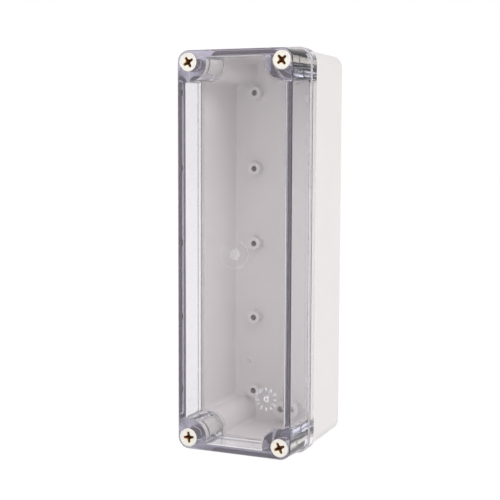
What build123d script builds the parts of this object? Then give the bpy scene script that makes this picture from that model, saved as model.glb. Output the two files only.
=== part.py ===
from build123d import *
import os

# Long narrow electrical enclosure: an opaque ABS base, a deep clear polycarbonate lid,
# a seal in the lid's rim, and four nylon screws that pass down the lid's solid corners.
# The box stands on one short end as photographed. X is its width, Z its length and Y its
# depth; the lid faces -Y. The origin is the middle of the bottom of the bounding box.

# Outline at the joint between lid and base
WIDTH = 80.0
LENGTH = 250.0
DEPTH = 85.0
LID_DEPTH = 33.5
SCREW_INSET = 9.4

# Seal line: the outline of the lid's inner face where it meets the rim. Its straight
# walls step round each screw on a quarter circle, and every joint profile is offset from it.
SEAL_INSET = 5.1
BUMP_RADIUS = 10.9
BUMP_FILLET = 1.5

# Clear lid
FACE_THICKNESS = 3.0
FACE_INSET = 2.3
SHOULDER_INSET = 1.2
RIM_HEIGHT = 7.0
LID_SIDE_LEAN = 1.6
LID_END_LEAN = 0.8
LID_BUMP_LEAN = 0.5
FACE_EDGE_RADIUS = 0.9
SHOULDER_EDGE_RADIUS = 0.6
FACE_INNER_RADIUS = 0.9
JOINT_CLEARANCE = 0.05
LIP_THICKNESS = 0.8
LIP_RELIEF = 0.5
GROOVE_WIDTH = 2.4
GROOVE_DEPTH = 5.5

# Seal
SEAL_HEIGHT = 1.3
SEAL_SIDE_CLEARANCE = 0.05
SEAL_FACE_CLEARANCE = 0.05

# Base
FLANGE_THICKNESS = 2.5
BODY_INSET = 1.2
BACK_INSET = 1.9
BACK_EDGE_RADIUS = 1.5
FLOOR_THICKNESS = 3.0
BASE_WALL_STEP = 1.0
BASE_INNER_DRAFT = 0.6
FLOOR_EDGE_RADIUS = 0.8
TONGUE_CLEARANCE = 0.25

# Inner mounting bosses, two columns of five on the floor
BOSS_COLUMNS = 2
BOSS_ROWS = 5
BOSS_PITCH_X = 40.0
BOSS_PITCH_Z = 50.0
BOSS_HEIGHT = 6.0
BOSS_TOP_RADIUS = 4.2
BOSS_FOOT_RADIUS = 4.4
BOSS_HOLE_RADIUS = 2.0
BOSS_HOLE_DEPTH = 5.0

# Wall fixing bosses, one near each end on the centre line
FIXING_PITCH = 222.0
FIXING_BOSS_RADIUS = 5.6
FIXING_HOLE_RADIUS = 2.25

# Lid screws
HEAD_RADIUS = 5.6
HEAD_LENGTH = 11.3
HEAD_SINK = 0.2
HEAD_EDGE_RADIUS = 0.5
HEAD_CLEARANCE = 0.2
HEAD_DISH_RADIUS = 4.6
HEAD_DISH_DEPTH = 0.25
NECK_RADIUS = 5.0
NECK_CLEARANCE = 0.3
NECK_END_CHAMFER = 0.5
NECK_FLOOR = 3.0
SHANK_RADIUS = 3.5
SHANK_CLEARANCE = 0.3
THREAD_FIT = 0.05
THREAD_ENGAGEMENT = 10.5
SHANK_POINT = 1.0
SCREW_HOLE_SPARE = 2.5
RECESS_SPAN = 7.2
RECESS_WIDTH = 1.8
RECESS_FILLET = 1.1
RECESS_DEPTH = 4.5
RECESS_TAPER = 9.0

# Sealing ring in the waist under each screw head
RING_THICKNESS = 1.4
RING_RADIUS = 5.5
RING_SECTION = 1.25
RING_FIT = 0.05
RING_FACE_CLEARANCE = 0.05

# How far each cross recess is turned from upright, anticlockwise as seen from the front
SCREW_TURNS = {"top_left": 30.0, "top_right": 40.0, "bottom_left": 5.0, "bottom_right": 25.0}

# Depths from the lid's front face
SHOULDER_DEPTH = LID_DEPTH - RIM_HEIGHT
RIM_BACK = LID_DEPTH - JOINT_CLEARANCE
GROOVE_FLOOR = LID_DEPTH - GROOVE_DEPTH
SEAL_FRONT = GROOVE_FLOOR + SEAL_FACE_CLEARANCE
SEAL_BACK = SEAL_FRONT + SEAL_HEIGHT
TONGUE_TOP = SEAL_BACK + SEAL_FACE_CLEARANCE
FLOOR_DEPTH = DEPTH - FLOOR_THICKNESS
FLANGE_BACK = LID_DEPTH + FLANGE_THICKNESS
HEAD_BACK = HEAD_SINK + HEAD_LENGTH
HEAD_SEAT = HEAD_BACK + RING_THICKNESS
NECK_SEAT = LID_DEPTH - NECK_FLOOR
NECK_END = NECK_SEAT - JOINT_CLEARANCE
SHANK_END = LID_DEPTH + THREAD_ENGAGEMENT

# Offsets from the seal line
GROOVE_OUTER = LIP_THICKNESS + GROOVE_WIDTH
TONGUE_INNER = LIP_THICKNESS + TONGUE_CLEARANCE
TONGUE_OUTER = GROOVE_OUTER - TONGUE_CLEARANCE

RING_BORE = RING_RADIUS - RING_SECTION
WAIST_RADIUS = RING_BORE - RING_FIT

SCREW_X = WIDTH / 2 - SCREW_INSET
SCREW_Z = LENGTH / 2 - SCREW_INSET
SCREW_PLACES = {
    "top_left": (-SCREW_X, SCREW_Z),
    "top_right": (SCREW_X, SCREW_Z),
    "bottom_left": (-SCREW_X, -SCREW_Z),
    "bottom_right": (SCREW_X, -SCREW_Z),
}


def at_depth(depth):
    """Plane parallel to the lid's face, drawn as seen from the front: local x is X, local y is Z."""
    return Plane(origin=(0, depth - DEPTH / 2, LENGTH / 2), x_dir=(1, 0, 0), z_dir=(0, -1, 0))


def prism(outline, start, end):
    """Straight extrusion of an outline between two depths."""
    return extrude(at_depth(end) * outline, end - start)


def drafted(front, back, start, end):
    """Drafted extrusion between two outlines of the same form."""
    return loft([at_depth(start) * front, at_depth(end) * back], ruled=True)


def outer_outline(inset):
    """The box's rounded outline, its corners concentric with the screws."""
    return RectangleRounded(WIDTH - 2 * inset, LENGTH - 2 * inset, SCREW_INSET - inset)


def stepped_outline(side_inset, end_inset, bump_radius):
    """A rectangle inside the box's outline whose corners step round the four screws."""
    outline = Rectangle(WIDTH - 2 * side_inset, LENGTH - 2 * end_inset)
    outline -= [Pos(x, z) * Circle(bump_radius) for x, z in SCREW_PLACES.values()]
    return fillet(outline.vertices(), BUMP_FILLET)


def seal_outline(step=0.0):
    """The seal line moved outward by a step."""
    outline = stepped_outline(SEAL_INSET, SEAL_INSET, BUMP_RADIUS)
    if step:
        outline = offset(outline, step)
    return outline


def edges_at(solid, depth, tolerance=0.01):
    """Edges that lie in the plane at this depth."""
    y = depth - DEPTH / 2
    return solid.edges().filter_by_position(Axis.Y, y - tolerance, y + tolerance)


def discs(places, radius):
    """The same circle at each place."""
    return Sketch() + [Pos(x, z) * Circle(radius) for x, z in places]


def lid():
    """Clear cover: a drafted shell with a wider rim that hides the seal groove."""
    body = drafted(outer_outline(FACE_INSET), outer_outline(SHOULDER_INSET), 0, SHOULDER_DEPTH)
    body = fillet(edges_at(body, 0), FACE_EDGE_RADIUS)
    rim = prism(outer_outline(0), SHOULDER_DEPTH, RIM_BACK)
    rim = fillet(edges_at(rim, SHOULDER_DEPTH), SHOULDER_EDGE_RADIUS)
    window = stepped_outline(SEAL_INSET + LID_SIDE_LEAN, SEAL_INSET + LID_END_LEAN,
                             BUMP_RADIUS + LID_BUMP_LEAN)
    hollow = drafted(window, seal_outline(), FACE_THICKNESS, SHOULDER_DEPTH)
    hollow = fillet(edges_at(hollow, FACE_THICKNESS), FACE_INNER_RADIUS)
    shell = body + rim - hollow
    shell -= prism(seal_outline(), SHOULDER_DEPTH, LID_DEPTH)
    shell -= prism(seal_outline(GROOVE_OUTER) - seal_outline(LIP_THICKNESS), GROOVE_FLOOR, LID_DEPTH)
    shell -= prism(seal_outline(LIP_THICKNESS) - seal_outline(), LID_DEPTH - LIP_RELIEF, LID_DEPTH)
    shell -= prism(discs(SCREW_PLACES.values(), HEAD_RADIUS + HEAD_CLEARANCE), 0, HEAD_SEAT)
    shell -= prism(discs(SCREW_PLACES.values(), NECK_RADIUS + NECK_CLEARANCE), 0, NECK_SEAT)
    shell -= prism(discs(SCREW_PLACES.values(), SHANK_RADIUS + SHANK_CLEARANCE), 0, LID_DEPTH)
    return shell


def seal():
    """Closed rubber seal pressed into the lid's groove."""
    band = seal_outline(GROOVE_OUTER - SEAL_SIDE_CLEARANCE)
    band -= seal_outline(LIP_THICKNESS + SEAL_SIDE_CLEARANCE)
    return prism(band, SEAL_FRONT, SEAL_BACK)


def boss_places():
    """Centres of the inner mounting bosses."""
    return [(place.position.X, place.position.Y)
            for place in GridLocations(BOSS_PITCH_X, BOSS_PITCH_Z, BOSS_COLUMNS, BOSS_ROWS)]


def fixing_places():
    """Centres of the two wall fixing bosses."""
    return [(0, -FIXING_PITCH / 2), (0, FIXING_PITCH / 2)]


def base():
    """Opaque box with a flange and tongue at the joint, solid screw posts and floor bosses."""
    flange = prism(outer_outline(0), LID_DEPTH, FLANGE_BACK)
    body = drafted(outer_outline(BODY_INSET), outer_outline(BACK_INSET), FLANGE_BACK, DEPTH)
    body = fillet(edges_at(body, DEPTH), BACK_EDGE_RADIUS)
    hollow = drafted(seal_outline(BASE_WALL_STEP), seal_outline(BASE_WALL_STEP - BASE_INNER_DRAFT),
                     LID_DEPTH, FLOOR_DEPTH)
    hollow = fillet(edges_at(hollow, FLOOR_DEPTH), FLOOR_EDGE_RADIUS)
    box = flange + body - hollow
    box += prism(seal_outline(TONGUE_OUTER) - seal_outline(TONGUE_INNER), TONGUE_TOP, LID_DEPTH)
    top = FLOOR_DEPTH - BOSS_HEIGHT
    for x, z in boss_places():
        box += drafted(Pos(x, z) * Circle(BOSS_TOP_RADIUS), Pos(x, z) * Circle(BOSS_FOOT_RADIUS),
                       top, FLOOR_DEPTH)
    box += prism(discs(fixing_places(), FIXING_BOSS_RADIUS), top, FLOOR_DEPTH)
    box -= prism(discs(boss_places(), BOSS_HOLE_RADIUS), top, top + BOSS_HOLE_DEPTH)
    box -= prism(discs(fixing_places(), FIXING_HOLE_RADIUS), top, DEPTH)
    box -= prism(discs(SCREW_PLACES.values(), SHANK_RADIUS + THREAD_FIT),
                 LID_DEPTH, SHANK_END + SCREW_HOLE_SPARE)
    return box


def screw(x, z, turn):
    """Nylon lid screw: tall head with a cross recess, ring waist, thick neck and plain shank."""
    here = Pos(x, z)
    head = prism(here * Circle(HEAD_RADIUS), HEAD_SINK, HEAD_BACK)
    head = fillet(edges_at(head, HEAD_SINK), HEAD_EDGE_RADIUS)
    waist = prism(here * Circle(WAIST_RADIUS), HEAD_BACK, HEAD_SEAT)
    neck = prism(here * Circle(NECK_RADIUS), HEAD_SEAT, NECK_END)
    neck = chamfer(edges_at(neck, NECK_END), NECK_END_CHAMFER)
    shank = prism(here * Circle(SHANK_RADIUS), NECK_END, SHANK_END)
    shank = chamfer(edges_at(shank, SHANK_END), SHANK_POINT)
    dish = HEAD_SINK + HEAD_DISH_DEPTH
    body = head + waist + neck + shank - prism(here * Circle(HEAD_DISH_RADIUS), HEAD_SINK, dish)
    cross = SlotOverall(RECESS_SPAN, RECESS_WIDTH) + Rot(0, 0, 90) * SlotOverall(RECESS_SPAN, RECESS_WIDTH)
    inner_corners = cross.vertices().sort_by_distance((0, 0, 0))[:4]
    cross = here * Rot(0, 0, turn) * fillet(inner_corners, RECESS_FILLET)
    return body - extrude(at_depth(dish) * cross, -RECESS_DEPTH, taper=RECESS_TAPER)


def screw_ring(x, z):
    """Rubber ring in the screw's waist, between the head and its seat in the lid."""
    ring = Pos(x, z) * (Circle(RING_RADIUS) - Circle(RING_BORE))
    return prism(ring, HEAD_BACK + RING_FACE_CLEARANCE, HEAD_SEAT - RING_FACE_CLEARANCE)


os.makedirs("parts", exist_ok=True)
export_step(base(), "parts/base.step")
export_step(lid(), "parts/clear_lid.step")
export_step(seal(), "parts/lid_seal.step")
for corner, (x, z) in SCREW_PLACES.items():
    export_step(screw(x, z, SCREW_TURNS[corner]), "parts/lid_screw_" + corner + ".step")
    export_step(screw_ring(x, z), "parts/screw_ring_" + corner + ".step")
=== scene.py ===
"""Dresses a clear-lid electrical enclosure and sets it on a white stage.

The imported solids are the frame. The operators below give each one its moulded plastic, add the
fine parts that the solids leave out, and set up the camera, the lights and the floor.
"""

import math

import bpy
from bpy.props import FloatProperty, FloatVectorProperty, PointerProperty
from bpy.types import Operator, Panel, PropertyGroup
from mathutils import Matrix, Vector


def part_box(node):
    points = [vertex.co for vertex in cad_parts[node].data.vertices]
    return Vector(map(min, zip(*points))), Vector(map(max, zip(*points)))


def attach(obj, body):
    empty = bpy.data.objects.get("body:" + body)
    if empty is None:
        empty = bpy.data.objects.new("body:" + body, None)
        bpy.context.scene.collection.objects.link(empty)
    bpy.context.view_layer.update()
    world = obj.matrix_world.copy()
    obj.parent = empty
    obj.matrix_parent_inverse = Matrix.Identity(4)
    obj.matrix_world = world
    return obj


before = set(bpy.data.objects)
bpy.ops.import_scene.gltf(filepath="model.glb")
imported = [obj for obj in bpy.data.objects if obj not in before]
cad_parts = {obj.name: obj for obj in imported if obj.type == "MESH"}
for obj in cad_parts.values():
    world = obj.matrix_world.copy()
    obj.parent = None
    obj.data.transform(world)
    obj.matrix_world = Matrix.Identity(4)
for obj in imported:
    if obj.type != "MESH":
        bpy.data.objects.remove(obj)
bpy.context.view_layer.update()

bl_info = {
    "name": "Clear-Lid Enclosure",
    "version": (1, 0, 0),
    "blender": (4, 5, 0),
    "location": "3D View > Sidebar > Enclosure",
    "description": "Finishes a clear-lid electrical enclosure and stages it",
    "category": "Object",
}

CORNERS = ("top_left", "top_right", "bottom_left", "bottom_right")

# Sizes of the solids that the finishes and the marks follow, in metres
WALL_THICKNESS = 0.003
BOSS_COLUMN = 0.02
BOSS_PITCH = 0.05
BOSS_ROWS = 5
FIXING_PLACE = 0.111
SHANK_RADIUS = 0.0035

# How far the painted shade inside a hole reaches from its middle, and where it starts and ends
# in front of the box's back
PLAIN_HOLE_REACH = 0.0021
FIXING_HOLE_REACH = 0.00235
HOLE_EDGE = 0.00006
HOLE_START = 0.0074
HOLE_END = 0.0014

# How far the painted shade inside a screw's cross recess reaches from its middle, and back from its
# head
RECESS_REACH = 0.0042
RECESS_RANGE = 0.005

# Hubs of the date dials: radius, width and height
LID_HUB = (0.0013, 0.0007, 0.0003)
FLOOR_HUB = (0.0006, 0.0010, 0.0012)

# Pin marks on the lid's inner side walls: across, back from the face, and up from the middle
PIN_SIDE = 0.03472
PIN_DEPTH = 0.0243
PIN_ROWS = (-0.0938, -0.0775, 0.0775, 0.0938)
SIDE_WALL_LEAN = 0.068

SEAL_COLOUR = (0.16, 0.13, 0.13)
RING_COLOUR = (0.05, 0.045, 0.045)

LAMP_TARGET = (0.0, 0.0, 0.12)


# Settings

class StageSettings(PropertyGroup):
    """Camera, lights and floor."""

    camera_place: FloatVectorProperty(
        name="Camera Place", description="Where the camera stands",
        default=(0.28954, -0.66152, 0.19317), subtype="TRANSLATION", unit="LENGTH")
    camera_azimuth: FloatProperty(
        name="Camera Azimuth", description="Turn of the view to the left of straight back",
        default=math.radians(24.22), subtype="ANGLE", unit="ROTATION")
    camera_fall: FloatProperty(
        name="Camera Fall", description="How far the view looks down",
        default=math.radians(5.45), subtype="ANGLE", unit="ROTATION")
    camera_roll: FloatProperty(
        name="Camera Roll", description="Turn of the camera about its own view line",
        default=math.radians(0.2), subtype="ANGLE", unit="ROTATION")
    camera_lens: FloatProperty(
        name="Focal Length", description="Focal length of the camera in millimetres",
        default=82.09, min=20, max=300)
    room_light: FloatProperty(
        name="Room Light", description="Strength of the even light from all round",
        default=0.88, min=0, max=2)
    room_fall: FloatProperty(
        name="Room Fall", description="How much less of the room's light comes from above",
        default=0.1, min=0, max=1)
    key_light: FloatProperty(
        name="Key Light", description="Power of the large soft lamp in front on the left",
        default=2.2, min=0, unit="POWER")
    side_light: FloatProperty(
        name="Side Light", description="Power of the large soft lamp in front on the right",
        default=17.0, min=0, unit="POWER")
    front_card: FloatProperty(
        name="Front Card", description="Turn to the dark card behind the camera, from straight back",
        default=math.radians(206), subtype="ANGLE", unit="ROTATION")
    front_card_reach: FloatProperty(
        name="Front Card Reach", description="Half of the front card's width, as a turn",
        default=math.radians(24), subtype="ANGLE", unit="ROTATION")
    back_card: FloatProperty(
        name="Back Card", description="Turn to the grey card behind the box, from straight back",
        default=math.radians(338), subtype="ANGLE", unit="ROTATION")
    back_card_reach: FloatProperty(
        name="Back Card Reach", description="Half of the back card's width, as a turn",
        default=math.radians(21), subtype="ANGLE", unit="ROTATION")
    card_edge: FloatProperty(
        name="Card Edge", description="Half of the soft edge of a card, as a turn",
        default=math.radians(18), subtype="ANGLE", unit="ROTATION")
    front_card_depth: FloatProperty(
        name="Front Card Depth", description="How much of the white the front card takes",
        default=0.9, min=0, max=1)
    back_card_depth: FloatProperty(
        name="Back Card Depth", description="How much of the white the back card takes",
        default=0.7, min=0, max=1)
    ceiling: FloatProperty(
        name="Ceiling", description="Brightness of the ceiling that gloss shows",
        default=0.35, min=0, max=1)
    floor_colour: FloatVectorProperty(
        name="Floor Colour", description="Colour of the floor", default=(0.94, 0.94, 0.94),
        min=0, max=1, subtype="COLOR")


class LidSettings(PropertyGroup):
    """The clear cover."""

    colour: FloatVectorProperty(
        name="Clear Colour", description="Colour of light that has passed one wall",
        default=(0.98, 0.974, 0.968), min=0, max=1, subtype="COLOR")
    depth_colour: FloatVectorProperty(
        name="Depth Colour", description="Colour that long ways through the plastic tend to",
        default=(0.14, 0.17, 0.82), min=0, max=1, subtype="COLOR")
    depth_density: FloatProperty(
        name="Depth Density", description="How fast the plastic takes light, per metre",
        default=8.0, min=0)
    haze: FloatProperty(
        name="Haze", description="Share of the light that the moulded faces scatter",
        default=0.006, min=0, max=0.3)


class BaseSettings(PropertyGroup):
    """The opaque box."""

    colour: FloatVectorProperty(
        name="Box Colour", description="Warm light grey of the opaque plastic",
        default=(0.76, 0.725, 0.725), min=0, max=1, subtype="COLOR")
    # Painted shade: a dark colour that stands in for the shade inside the bosses' screw holes
    hole_colour: FloatVectorProperty(
        name="Hole Colour", description="Inside of the screw holes in the floor's bosses",
        default=(0.34, 0.22, 0.20), min=0, max=1, subtype="COLOR")


class MarkSettings(PropertyGroup):
    """The fine marks that the moulds leave. Places are seen from the front, from the middle."""

    dial_radius: FloatProperty(
        name="Dial Radius", description="From a date dial's middle to its numbers",
        default=0.006, min=0.002, unit="LENGTH")
    dial_height: FloatProperty(
        name="Number Height", description="Height of a date dial's numbers",
        default=0.0022, min=0.0005, unit="LENGTH")
    lid_dial: FloatVectorProperty(
        name="Lid Dial", description="Middle of the lid's date dial, across and up",
        default=(0.0212, -0.0868), size=2, subtype="XYZ", unit="LENGTH")
    floor_dial: FloatVectorProperty(
        name="Floor Dial", description="Middle of the floor's date dial, across and up",
        default=(-0.0254, -0.0811), size=2, subtype="XYZ", unit="LENGTH")
    gate_radius: FloatProperty(
        name="Gate Ring", description="Radius of the ring round the lid's gate mark",
        default=0.0088, min=0.002, unit="LENGTH")
    floor_gate_radius: FloatProperty(
        name="Floor Ring", description="Radius of the ring in the middle of the floor",
        default=0.0097, min=0.002, unit="LENGTH")


class ScrewSettings(PropertyGroup):
    """Lid screws and their rings."""

    colour: FloatVectorProperty(
        name="Screw Colour", description="Cream nylon",
        default=(0.85, 0.82, 0.75), min=0, max=1, subtype="COLOR")
    # Painted shade: the two recess colours stand in for the shade inside the cross recess
    edge_colour: FloatVectorProperty(
        name="Recess Edge Colour", description="Inside of the cross recess, near its edge",
        default=(0.62, 0.38, 0.16), min=0, max=1, subtype="COLOR")
    recess_colour: FloatVectorProperty(
        name="Recess Colour", description="Deep inside the cross recess",
        default=(0.22, 0.08, 0.012), min=0, max=1, subtype="COLOR")
    pitch: FloatProperty(
        name="Thread Pitch", description="Rise of the thread in one turn",
        default=0.0025, min=0.0005, unit="LENGTH")
    thread_height: FloatProperty(
        name="Thread Height", description="How far the thread stands out of the shank",
        default=0.00024, min=0.0001, unit="LENGTH")


# Shader maths

class Value:
    """A socket that takes Python's arithmetic: each operation adds its Math node."""

    def __init__(self, tree, socket):
        self.tree, self.socket = tree, socket

    def _maths(self, kind, *inputs):
        return self.tree.node("ShaderNodeMath", {"operation": kind}, inputs)

    def __add__(self, other):
        return self._maths("ADD", self, other)

    def __radd__(self, other):
        return self._maths("ADD", other, self)

    def __sub__(self, other):
        return self._maths("SUBTRACT", self, other)

    def __rsub__(self, other):
        return self._maths("SUBTRACT", other, self)

    def __mul__(self, other):
        return self._maths("MULTIPLY", self, other)

    def __rmul__(self, other):
        return self._maths("MULTIPLY", other, self)

    def __truediv__(self, other):
        return self._maths("DIVIDE", self, other)

    def __rtruediv__(self, other):
        return self._maths("DIVIDE", other, self)

    def __pow__(self, other):
        return self._maths("POWER", self, other)

    def __abs__(self):
        return self._maths("ABSOLUTE", self)

    def fraction(self):
        return self._maths("FRACT", self)

    def at_least(self, other):
        return self._maths("MAXIMUM", self, other)

    def above(self, edge, soft):
        """0 below edge, 1 above it, over a soft band."""
        return self.tree.node("ShaderNodeMapRange", {"interpolation_type": "SMOOTHSTEP"},
                              (self, edge - soft, edge + soft, 0.0, 1.0))


class Tree:
    """One node tree, to which nodes are added by type."""

    def __init__(self, tree):
        self.tree = tree
        self.tree.nodes.clear()

    def node(self, kind, settings=None, values=(), output=0):
        """A node with its settings set first, then the values or links of its sockets."""
        made = self.tree.nodes.new(kind)
        for name, value in (settings or {}).items():
            if name == "stops":
                self._stops(made.color_ramp, value)
            else:
                setattr(made, name, value)
        pairs = values.items() if isinstance(values, dict) else enumerate(values)
        for name, value in pairs:
            if isinstance(value, Value):
                self.tree.links.new(value.socket, made.inputs[name])
            elif value is not None:
                made.inputs[name].default_value = value
        if output is None:
            return made
        return Value(self, made.outputs[output])

    def _stops(self, ramp, stops):
        while len(ramp.elements) < len(stops):
            ramp.elements.new(1.0)
        for element, (place, colour) in zip(ramp.elements, stops):
            element.position = place
            element.color = (*colour, 1.0)

    def place(self):
        """Object coordinates, in metres."""
        return self.node("ShaderNodeTexCoord", output="Object")

    def parts(self, vector):
        """The three numbers of a vector."""
        made = self.node("ShaderNodeSeparateXYZ", values=(vector,), output=None)
        return [Value(self, socket) for socket in made.outputs]

    def length(self, first, second):
        """Length of a vector with these two parts."""
        return (first * first + second * second) ** 0.5

    def ray(self, *kinds):
        """1 for any of these kinds of ray, 0 for the others."""
        path = self.node("ShaderNodeLightPath", output=None)
        found = [Value(self, path.outputs["Is " + kind + " Ray"]) for kind in kinds]
        any_kind = found[0]
        for kind in found[1:]:
            any_kind = any_kind.at_least(kind)
        return any_kind

    def noise(self, vector, scale, detail=2.0, rough=0.5):
        return self.node("ShaderNodeTexNoise", values={
            "Vector": vector, "Scale": scale, "Detail": detail, "Roughness": rough})

    def blend(self, factor, first, second):
        """A colour between two colours."""
        return self.node("ShaderNodeMix", {"data_type": "RGBA"},
                         {0: factor, 6: first, 7: second}, output=2)

    def bump(self, height, distance, strength=1.0):
        return self.node("ShaderNodeBump", values={
            "Height": height, "Distance": distance, "Strength": strength}, output="Normal")

    def finish(self, surface, volume=None):
        out = self.node("ShaderNodeOutputMaterial", output=None)
        self.tree.links.new(surface.socket, out.inputs["Surface"])
        if volume is not None:
            self.tree.links.new(volume.socket, out.inputs["Volume"])


def new_material(name):
    material = bpy.data.materials.new(name)
    material.use_nodes = True
    return material, Tree(material.node_tree)


def solid(colour):
    return (*colour, 1.0)


# Materials

def box_plastic(settings, back, middle):
    """Opaque ABS: fine spark texture, faint mottling, and painted shade inside the holes of the
    bosses.
    """
    material, tree = new_material("box_plastic")
    place = tree.place()
    x, y, z = tree.parts(place)
    along = z - middle
    row = ((along / BOSS_PITCH + BOSS_ROWS / 2).fraction() - 0.5) * BOSS_PITCH
    # Masks of the painted shade inside the bosses' holes, across and in depth
    plain_hole_shade = 1.0 - tree.length(abs(x) - BOSS_COLUMN, row).above(PLAIN_HOLE_REACH, HOLE_EDGE)
    fixing_hole_shade = 1.0 - tree.length(x, abs(along) - FIXING_PLACE).above(
        FIXING_HOLE_REACH, HOLE_EDGE)
    sunk = y.above(back - HOLE_START, 0.0016) * (1.0 - y.above(back - HOLE_END, 0.001))
    cloud = tree.noise(place, 45.0, 3.0)
    grain = tree.noise(place, 1900.0, 2.0, 0.6)
    colour = tree.blend(cloud.above(0.5, 0.25),
                        solid([c * 0.985 for c in settings.colour]), solid(settings.colour))
    # Painted shade: the holes' colour is laid in where the masks meet
    colour = tree.blend(sunk * plain_hole_shade.at_least(fixing_hole_shade), colour,
                        solid(settings.hole_colour))
    tree.finish(tree.node("ShaderNodeBsdfPrincipled", values={
        "Base Color": colour,
        "Roughness": 0.42 + 0.10 * grain,
        "IOR": 1.53,
        "Normal": tree.bump(grain, 0.00004, 0.5),
    }))
    return material


def clear_plastic(settings):
    """Clear polycarbonate, faintly blue where it is thick. Lamps reach what is behind it."""
    material, tree = new_material("clear_plastic")
    glass = tree.node("ShaderNodeBsdfPrincipled", values={
        "Base Color": solid(settings.colour),
        "Roughness": 0.0,
        "IOR": 1.585,
        "Transmission Weight": 1.0 - settings.haze,
    })
    film = tree.node("ShaderNodeBsdfTransparent", values=(solid([0.96, 0.953, 0.948]),))
    surface = tree.node("ShaderNodeMixShader", values=(
        tree.ray("Shadow", "Diffuse"), glass, film))
    depth = tree.node("ShaderNodeVolumeAbsorption", values={
        "Color": solid(settings.depth_colour), "Density": settings.depth_density})
    tree.finish(surface, depth)
    return material


def rubber(name, colour):
    """Moulded rubber."""
    material, tree = new_material(name)
    place = tree.place()
    dust = tree.noise(place, 600.0, 3.0)
    tree.finish(tree.node("ShaderNodeBsdfPrincipled", values={
        "Base Color": tree.blend(dust, solid([c * 0.85 for c in colour]), solid(colour)),
        "Roughness": 0.6 + 0.15 * dust,
        "Normal": tree.bump(dust, 0.00005, 0.4),
    }))
    return material


def mark_plastic(name, least, most):
    """The lid's plastic where the mould left it raised or frosted: pale and partly clear.
    Made nearly opaque, its pale colour is partly a painted highlight.
    """
    material, tree = new_material(name)
    grain = tree.noise(tree.place(), 900.0, 2.0)
    frost = tree.node("ShaderNodeBsdfPrincipled", values={
        "Base Color": tree.blend(grain, solid((0.88, 0.88, 0.92)), solid((0.98, 0.98, 1.0))),
        "Roughness": 0.25 + 0.2 * grain,
        "IOR": 1.585,
    })
    open_part = tree.node("ShaderNodeBsdfTransparent")
    tree.finish(tree.node("ShaderNodeMixShader", values=(
        least + (most - least) * grain.above(0.5, 0.2), open_part, frost)))
    return material


def nylon(settings, corner, centre):
    """Cream nylon, with painted shade that makes it darker the deeper inside the cross recess."""
    material, tree = new_material("screw_nylon_" + corner)
    place = tree.place()
    x, y, z = tree.parts(place)
    cream, edge, deep = settings.colour, settings.edge_colour, settings.recess_colour
    # Painted shade inside the cross recess: cream at the head's face, darker the deeper in
    recess = tree.node("ShaderNodeValToRGB", {"stops": [
        (0.052, cream), (0.06, edge), (0.36, deep), (0.96, deep), (1.0, cream)]},
        ((y - centre.y) / RECESS_RANGE,))
    inside = 1.0 - tree.length(x - centre.x, z - centre.z).above(RECESS_REACH, 0.0002)
    colour = tree.blend(inside, solid(cream), recess)
    speck = tree.noise(place, 900.0, 2.0)
    tree.finish(tree.node("ShaderNodeBsdfPrincipled", values={
        "Base Color": colour,
        "Roughness": 0.38 + 0.1 * speck,
        "IOR": 1.53,
        "Normal": tree.bump(speck, 0.00004, 0.3),
    }))
    return material


def dress(node, material):
    """Puts one material in all of a solid's slots."""
    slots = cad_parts[node].data.materials
    for index in range(len(slots)):
        slots[index] = material


# Pieces

def wall_place(point, out, up):
    """A place on a wall: local Z points out of the wall and local Y points up it."""
    out, up = Vector(out).normalized(), Vector(up).normalized()
    return Matrix.Translation(point) @ Matrix((up.cross(out), up, out)).transposed().to_4x4()


def alone(piece):
    """Selects one piece and makes it active."""
    bpy.ops.object.select_all(action="DESELECT")
    piece.select_set(True)
    bpy.context.view_layer.objects.active = piece


def apply_all(piece):
    alone(piece)
    for modifier in list(piece.modifiers):
        bpy.ops.object.modifier_apply(modifier=modifier.name)


def settle(piece, place):
    """Puts a piece modelled at the origin in its place, which then lies in its mesh."""
    alone(piece)
    bpy.context.view_layer.update()
    piece.matrix_world = place @ piece.matrix_world
    bpy.ops.object.transform_apply(location=True, rotation=True, scale=True)


def joined(pieces, name):
    """Joins pieces into one and cleans its faces."""
    alone(pieces[0])
    for piece in pieces:
        piece.select_set(True)
    if len(pieces) > 1:
        bpy.ops.object.join()
    made = bpy.context.object
    made.name = made.data.name = name
    bpy.ops.object.mode_set(mode="EDIT")
    bpy.ops.mesh.select_all(action="SELECT")
    bpy.ops.mesh.remove_doubles(threshold=1e-6)
    bpy.ops.mesh.normals_make_consistent(inside=False)
    bpy.ops.object.mode_set(mode="OBJECT")
    bpy.ops.object.shade_smooth_by_angle(angle=math.radians(30))
    return made


def finish(piece, material, body):
    """Gives a piece its finish and the body that it rides on."""
    piece.data.materials.clear()
    piece.data.materials.append(material)
    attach(piece, body)


def ring_ridge(radius, width, height, vertices=72):
    """A low round-edged ridge along a circle, standing on the plane Z = 0."""
    bpy.ops.object.select_all(action="DESELECT")
    bpy.ops.mesh.primitive_circle_add(vertices=vertices, radius=radius + width / 2,
                                      fill_type="NGON")
    made = bpy.context.object
    bpy.ops.object.mode_set(mode="EDIT")
    bpy.ops.mesh.select_all(action="SELECT")
    bpy.ops.mesh.inset(thickness=width)
    bpy.ops.mesh.delete(type="FACE")
    bpy.ops.object.mode_set(mode="OBJECT")
    wall = made.modifiers.new("height", "SOLIDIFY")
    wall.thickness, wall.offset = height, 1.0
    edge = made.modifiers.new("edge", "BEVEL")
    edge.width, edge.segments = min(width, height) * 0.3, 2
    edge.limit_method = "ANGLE"
    apply_all(made)
    return made


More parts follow.
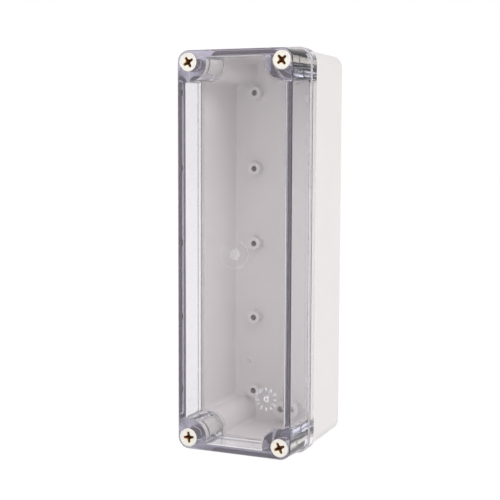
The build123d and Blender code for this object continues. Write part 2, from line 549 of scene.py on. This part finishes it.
def number(text, height, thickness):
    """A bold raised number that stands on the plane Z = 0, centred on the origin."""
    bpy.ops.object.select_all(action="DESELECT")
    bpy.ops.object.text_add()
    made = bpy.context.object
    made.data.body = text
    made.data.size = height * 1.4
    made.data.resolution_u = 2
    made.data.offset = height * 0.03
    made.data.extrude = thickness / 2
    made.data.align_x, made.data.align_y = "CENTER", "CENTER"
    bpy.ops.object.convert(target="MESH")
    made = bpy.context.object
    settle(made, Matrix.Translation((0.0, 0.0, thickness / 2)))
    return made


def pointer(inner, outer, width, height):
    """A tapered hand that points along Y, standing on the plane Z = 0."""
    bpy.ops.object.select_all(action="DESELECT")
    bpy.ops.mesh.primitive_cube_add(size=1.0)
    made = bpy.context.object
    made.scale = (width, outer - inner, height)
    settle(made, Matrix.Translation((0.0, (inner + outer) / 2, height / 2)))
    bpy.ops.object.mode_set(mode="EDIT")
    bpy.ops.mesh.select_all(action="DESELECT")
    bpy.ops.object.mode_set(mode="OBJECT")
    for vertex in made.data.vertices:
        vertex.select = vertex.co.y > (inner + outer) / 2
    bpy.ops.object.mode_set(mode="EDIT")
    bpy.ops.transform.resize(value=(0.3, 1.0, 0.6), center_override=(0.0, outer, 0.0))
    bpy.ops.object.mode_set(mode="OBJECT")
    return made


def date_dial(settings, name, place, thickness, hub, first_turn):
    """Twelve raised numbers, clockwise, and apart from them a small hub with a hand. The hub is
    a ring with this radius, width and height."""
    parts = []
    for month in range(1, 13):
        digit = number(str(month), settings.dial_height, thickness)
        turn = Matrix.Rotation(-first_turn - month * math.tau / 12, 4, "Z")
        settle(digit, turn @ Matrix.Translation((0.0, settings.dial_radius, 0.0)))
        parts.append(digit)
    hand = pointer(hub[0] + hub[1] / 2, settings.dial_radius * 0.55,
                   settings.dial_radius * 0.09, hub[2] / 2)
    settle(hand, Matrix.Rotation(math.radians(40), 4, "Z"))
    dial = joined(parts, name + "_numbers"), joined([ring_ridge(*hub, 32), hand], name + "_hub")
    for piece in dial:
        settle(piece, place)
    return dial


# Operators

class ENCLOSURE_OT_stage(Operator):
    """Set up the camera, the soft lights, the white surroundings and the floor."""

    bl_idname = "enclosure.stage"
    bl_label = "Stage"

    def execute(self, context):
        settings = context.scene.enclosure_stage
        bpy.ops.object.select_all(action="DESELECT")
        self._camera(context, settings)
        self._lamp("soft_left", (-0.9, -1.5, 1.1), size=1.4, power=settings.key_light)
        self._lamp("soft_right", (1.4, -1.0, 1.6), size=1.0, power=settings.side_light)
        self._floor(settings)
        self._surroundings(context, settings)
        context.scene.view_settings.view_transform = "Standard"
        return {"FINISHED"}

    def _camera(self, context, settings):
        bpy.ops.object.camera_add()
        camera = context.object
        camera.name = "photo_camera"
        turn = (Matrix.Rotation(settings.camera_azimuth, 4, "Z")
                @ Matrix.Rotation(math.pi / 2 - settings.camera_fall, 4, "X")
                @ Matrix.Rotation(settings.camera_roll, 4, "Z"))
        camera.matrix_world = Matrix.Translation(settings.camera_place) @ turn
        camera.data.lens = settings.camera_lens
        camera.data.sensor_width = 36.0
        camera.data.clip_start = 0.01
        context.scene.camera = camera

    def _lamp(self, name, place, size, power):
        bpy.ops.object.light_add(type="AREA", location=place)
        lamp = bpy.context.object
        lamp.name = name
        towards = Vector(LAMP_TARGET) - Vector(place)
        lamp.rotation_euler = towards.to_track_quat("-Z", "Y").to_euler()
        lamp.data.shape = "DISK"
        lamp.data.size = size
        lamp.data.energy = power

    def _floor(self, settings):
        bpy.ops.mesh.primitive_circle_add(vertices=96, radius=4.0, fill_type="NGON")
        floor = bpy.context.object
        floor.name = "floor"
        material, tree = new_material("floor_white")
        plain = tree.node("ShaderNodeBsdfDiffuse", values=(solid(settings.floor_colour),))
        faint = tree.node("ShaderNodeBsdfDiffuse", values=(solid([0.15] * 3),))
        glow = tree.node("ShaderNodeEmission", values=(solid([1.0] * 3), 0.9))
        lit = tree.node("ShaderNodeAddShader", values=(faint, glow))
        tree.finish(tree.node("ShaderNodeMixShader", values=(
            tree.ray("Camera", "Glossy", "Transmission"), plain, lit)))
        floor.data.materials.append(material)

    def _surroundings(self, context, settings):
        """White behind the box, which gloss and clear walls show with its cards, and even light."""
        world = bpy.data.worlds.new("studio")
        context.scene.world = world
        world.use_nodes = True
        tree = Tree(world.node_tree)
        x, y, z = tree.parts(tree.node("ShaderNodeTexCoord", output="Generated"))
        light = self._grey(tree, settings.room_light - settings.room_fall * z.at_least(0.0))
        shown = self._grey(tree, self._carded_white(tree, settings, x, y, z))
        white = self._grey(tree, 1.0)
        mixed = tree.node("ShaderNodeMixShader", values=(
            tree.ray("Glossy", "Transmission"), light, shown))
        mixed = tree.node("ShaderNodeMixShader", values=(tree.ray("Camera"), mixed, white))
        out = tree.node("ShaderNodeOutputWorld", output=None)
        tree.tree.links.new(mixed.socket, out.inputs["Surface"])

    def _carded_white(self, tree, settings, x, y, z):
        """The white background with two soft dark cards, clear of the floor, and a dim ceiling,
        which give clear plastic its darker edges."""
        turn = tree.node("ShaderNodeMath", {"operation": "ARCTAN2"}, (x * -1.0, y))
        front = self._card(turn, settings.front_card, settings.front_card_reach, settings.card_edge)
        back = self._card(turn, settings.back_card, settings.back_card_reach, settings.card_edge)
        dark = front * settings.front_card_depth + back * settings.back_card_depth
        around = 1.0 - dark * z.above(edge=0.04, soft=0.1)
        overhead = z.above(edge=0.5, soft=0.2)
        return around * (1.0 - overhead) + settings.ceiling * overhead

    def _card(self, turn, middle, reach, edge):
        """1 on a card and 0 off it, by the turn round the horizon."""
        away = abs(((turn - middle) / math.tau + 0.5).fraction() - 0.5)
        return 1.0 - away.above(reach / math.tau, edge / math.tau)

    def _grey(self, tree, strength):
        return tree.node("ShaderNodeBackground", values=(solid([1.0] * 3), strength))


class ENCLOSURE_OT_base(Operator):
    """Finish the opaque box."""

    bl_idname = "enclosure.base"
    bl_label = "Box"

    def execute(self, context):
        low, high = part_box("base")
        dress("base", box_plastic(context.scene.enclosure_base, high.y, (low.z + high.z) / 2))
        return {"FINISHED"}


class ENCLOSURE_OT_lid(Operator):
    """Finish the clear cover."""

    bl_idname = "enclosure.lid"
    bl_label = "Clear Lid"

    def execute(self, context):
        dress("clear_lid", clear_plastic(context.scene.enclosure_lid))
        return {"FINISHED"}


class ENCLOSURE_OT_rubber(Operator):
    """Finish the seal and the four screw rings."""

    bl_idname = "enclosure.rubber"
    bl_label = "Seal and Rings"

    def execute(self, context):
        dress("lid_seal", rubber("seal_rubber_moulded", SEAL_COLOUR))
        ring = rubber("ring_rubber_moulded", RING_COLOUR)
        for corner in CORNERS:
            dress("screw_ring_" + corner, ring)
        return {"FINISHED"}


class ENCLOSURE_OT_screws(Operator):
    """Finish the four lid screws."""

    bl_idname = "enclosure.screws"
    bl_label = "Lid Screws"

    def execute(self, context):
        for corner in CORNERS:
            node = "lid_screw_" + corner
            low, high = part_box(node)
            centre = Vector(((low.x + high.x) / 2, low.y, (low.z + high.z) / 2))
            dress(node, nylon(context.scene.enclosure_screws, corner, centre))
        return {"FINISHED"}


class ENCLOSURE_OT_threads(Operator):
    """Wind the threads on the four screws."""

    bl_idname = "enclosure.threads"
    bl_label = "Screw Threads"

    def execute(self, context):
        settings = context.scene.enclosure_screws
        for corner in CORNERS:
            low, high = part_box("lid_screw_" + corner)
            tip = Vector(((low.x + high.x) / 2, high.y, (low.z + high.z) / 2))
            thread = self._ridge(settings)
            thread.name = thread.data.name = "screw_thread_" + corner
            settle(thread, Matrix.Translation(tip) @ Matrix.Rotation(-math.pi / 2, 4, "X"))
            finish(thread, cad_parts["lid_screw_" + corner].data.materials[0],
                   "screw_" + corner)
        return {"FINISHED"}

    def _ridge(self, settings):
        """A right-handed ridge that winds up Z and ends 1.6 mm short of the screw's tip."""
        turns, bare_tip, sunk = 3, 0.0016, 0.00005
        crest, foot = SHANK_RADIUS + settings.thread_height, settings.pitch * 0.38
        bpy.ops.object.select_all(action="DESELECT")
        bpy.ops.mesh.primitive_circle_add(vertices=4, radius=foot / 2, fill_type="NOTHING",
                                          rotation=(math.pi / 2, 0.0, 0.0))
        made = bpy.context.object
        start = -bare_tip - foot / 2 - turns * settings.pitch
        settle(made, Matrix.Translation((crest - foot / 2, 0.0, start)))
        bpy.ops.object.mode_set(mode="EDIT")
        bpy.ops.mesh.select_all(action="DESELECT")
        bpy.ops.object.mode_set(mode="OBJECT")
        # The diamond's inner corner comes out to just under the shank's skin
        inner = min(made.data.vertices, key=lambda vertex: vertex.co.x)
        inner.select = True
        shift = SHANK_RADIUS - sunk - inner.co.x
        bpy.ops.object.mode_set(mode="EDIT")
        bpy.ops.transform.translate(value=(shift, 0.0, 0.0))
        bpy.ops.object.mode_set(mode="OBJECT")
        wind = made.modifiers.new("wind", "SCREW")
        wind.axis, wind.angle = "Z", math.tau
        wind.screw_offset, wind.iterations = settings.pitch, turns
        wind.steps = wind.render_steps = 40
        wind.use_merge_vertices = False
        apply_all(made)
        bpy.ops.object.mode_set(mode="EDIT")
        bpy.ops.mesh.select_all(action="SELECT")
        bpy.ops.mesh.fill_holes(sides=0)
        bpy.ops.object.mode_set(mode="OBJECT")
        return joined([made], "screw_thread")


class ENCLOSURE_OT_lid_marks(Operator):
    """Add the gate mark, the date dial and the pin marks inside the clear lid."""

    bl_idname = "enclosure.lid_marks"
    bl_label = "Lid Marks"

    def execute(self, context):
        settings = context.scene.enclosure_marks
        low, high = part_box("clear_lid")
        middle = (low.z + high.z) / 2
        proud = 0.00002
        inside = low.y + WALL_THICKNESS + proud

        def facing_in(x, z):
            return wall_place((x, inside, middle + z), (0, 1, 0), (0, 0, 1))

        faint = mark_plastic("clear_plastic_line", 0.04, 0.13)
        torn = mark_plastic("clear_plastic_torn", 0.05, 0.24)
        raised = mark_plastic("clear_plastic_raised", 0.6, 0.9)
        # Frost and painted highlight: the hub's nearly opaque white also stands in for its glints
        frost_and_glint = mark_plastic("clear_plastic_frost_and_glint", 0.9, 1.0)
        ring = ring_ridge(settings.gate_radius, width=0.0005, height=0.00012, vertices=96)
        ring = joined([ring], "lid_gate_ring")
        gate = joined([self._gate(radius=0.0033)], "lid_gate_mark")
        for piece, material in ((ring, faint), (gate, torn)):
            settle(piece, facing_in(0.0002, 0.0))
            finish(piece, material, "lid")
        dial = date_dial(settings, "lid_dial", facing_in(*settings.lid_dial), thickness=0.00012,
                         hub=LID_HUB, first_turn=math.radians(90.0))
        for piece, material in zip(dial, (raised, frost_and_glint)):
            finish(piece, material, "lid")
        pins = []
        for side in (-1, 1):
            for up in PIN_ROWS:
                pin = ring_ridge(0.00175, width=0.0003, height=0.0001, vertices=32)
                settle(pin, wall_place((side * PIN_SIDE, low.y + PIN_DEPTH, middle + up),
                                       (-side, SIDE_WALL_LEAN, 0), (0, 0, 1)))
                pins.append(pin)
        pins = joined(pins, "lid_pin_marks")
        finish(pins, raised, "lid")
        return {"FINISHED"}

    def _gate(self, radius):
        """The rough low lump left where the gate was cut off."""
        bpy.ops.object.select_all(action="DESELECT")
        bpy.ops.mesh.primitive_circle_add(vertices=28, radius=radius, fill_type="NGON")
        made = bpy.context.object
        bpy.ops.object.mode_set(mode="EDIT")
        bpy.ops.mesh.select_all(action="SELECT")
        lump, drop = 0.00022, 0.00003
        bpy.ops.mesh.extrude_region_move(TRANSFORM_OT_translate={"value": (0, 0, lump)})
        for step in range(3):
            bpy.ops.mesh.inset(thickness=radius * 0.22)
            bpy.ops.transform.translate(value=(0, 0, drop * (1 - step)))
        bpy.ops.object.mode_set(mode="OBJECT")
        torn = bpy.data.textures.new("torn", "CLOUDS")
        torn.noise_scale = radius * 0.7
        rough = made.modifiers.new("rough", "DISPLACE")
        rough.texture, rough.strength, rough.mid_level = torn, radius * 0.35, 0.5
        rough.direction = "X"
        apply_all(made)
        return made


class ENCLOSURE_OT_floor_marks(Operator):
    """Add the ring and the date dial on the box's floor."""

    bl_idname = "enclosure.floor_marks"
    bl_label = "Floor Marks"

    def execute(self, context):
        settings = context.scene.enclosure_marks
        low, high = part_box("base")
        middle = (low.z + high.z) / 2
        floor = high.y - WALL_THICKNESS

        def facing_out(x, z):
            return wall_place((x, floor, middle + z), (0, -1, 0), (0, 0, 1))

        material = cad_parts["base"].data.materials[0]
        ring = ring_ridge(settings.floor_gate_radius, width=0.0008, height=0.0002, vertices=96)
        ring = joined([ring], "floor_ring_mark")
        settle(ring, facing_out(0.0, 0.0))
        finish(ring, material, "box")
        dial = date_dial(settings, "floor_dial", facing_out(*settings.floor_dial),
                         thickness=0.0003, hub=FLOOR_HUB, first_turn=0.0)
        for piece in dial:
            finish(piece, material, "box")
        return {"FINISHED"}


class ENCLOSURE_PT_sidebar(Panel):
    """The enclosure's pieces, in the order they are made."""

    bl_label = "Enclosure"
    bl_idname = "ENCLOSURE_PT_sidebar"
    bl_space_type = "VIEW_3D"
    bl_region_type = "UI"
    bl_category = "Enclosure"

    def draw(self, context):
        for operator in OPERATORS:
            self.layout.operator(operator.bl_idname)
        for name in SETTINGS:
            group = getattr(context.scene, name)
            box = self.layout.box()
            for prop in group.bl_rna.properties:
                if not prop.is_readonly and prop.identifier != "name":
                    box.prop(group, prop.identifier)


OPERATORS = (ENCLOSURE_OT_stage, ENCLOSURE_OT_base, ENCLOSURE_OT_lid, ENCLOSURE_OT_rubber,
             ENCLOSURE_OT_screws, ENCLOSURE_OT_threads, ENCLOSURE_OT_lid_marks,
             ENCLOSURE_OT_floor_marks)
SETTINGS = {"enclosure_stage": StageSettings, "enclosure_lid": LidSettings,
            "enclosure_base": BaseSettings, "enclosure_screws": ScrewSettings,
            "enclosure_marks": MarkSettings}
CLASSES = (*SETTINGS.values(), *OPERATORS, ENCLOSURE_PT_sidebar)


def register():
    for each in CLASSES:
        bpy.utils.register_class(each)
    for name, group in SETTINGS.items():
        setattr(bpy.types.Scene, name, PointerProperty(type=group))


def unregister():
    for name in SETTINGS:
        delattr(bpy.types.Scene, name)
    for each in reversed(CLASSES):
        bpy.utils.unregister_class(each)


def main():
    register()
    bpy.ops.enclosure.stage()
    bpy.ops.enclosure.base()
    bpy.ops.enclosure.lid()
    bpy.ops.enclosure.rubber()
    bpy.ops.enclosure.screws()
    bpy.ops.enclosure.threads()
    bpy.ops.enclosure.lid_marks()
    bpy.ops.enclosure.floor_marks()


if __name__ == "__main__":
    main()
